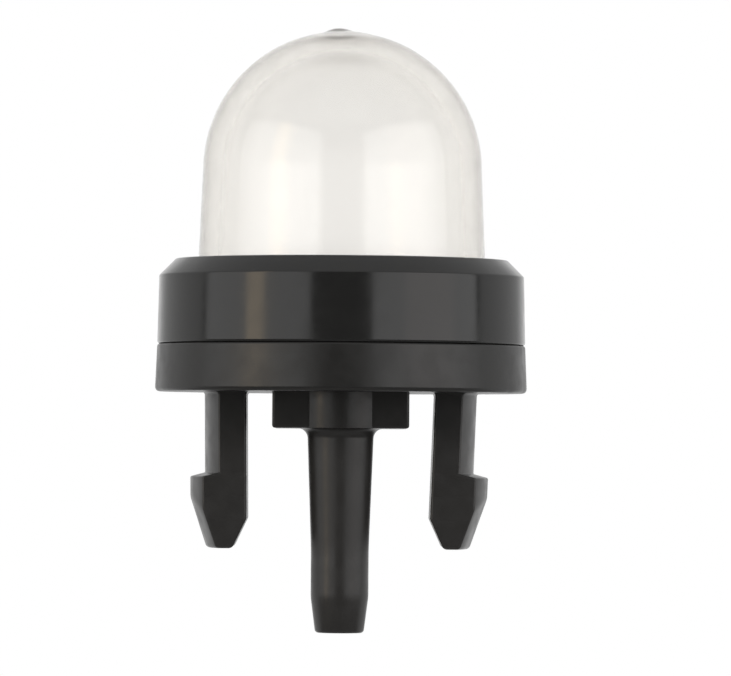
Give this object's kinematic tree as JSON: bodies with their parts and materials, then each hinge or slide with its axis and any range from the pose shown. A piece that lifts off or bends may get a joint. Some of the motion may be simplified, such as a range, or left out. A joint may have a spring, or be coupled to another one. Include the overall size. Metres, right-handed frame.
{
  "type": "primer bulb",
  "caption": "Snap-in fuel primer bulb: clear domed bulb held by a black ring on a round base with snap legs and straight hose nipples below.",
  "frame": {"origin": "centre of the flange's underside, where the pump's axis meets the outer face of the housing wall that it snaps into", "axes": "+Z along the pump's axis towards the dome; X through the two snap legs; Y through the two hose nipples, -Y towards the outlet nipple"},
  "size_m": [0.022, 0.022, 0.0356],
  "materials": {
    "black_nylon": "satin",
    "ring_nylon": "satin",
    "clear_urethane": "gloss",
    "nitrile_rubber": "matte"
  },
  "bodies": {
    "root": {"base": "black_nylon", "retaining_ring": "ring_nylon", "bulb": "clear_urethane", "check_valve": "nitrile_rubber"}
  },
  "joints": []
}
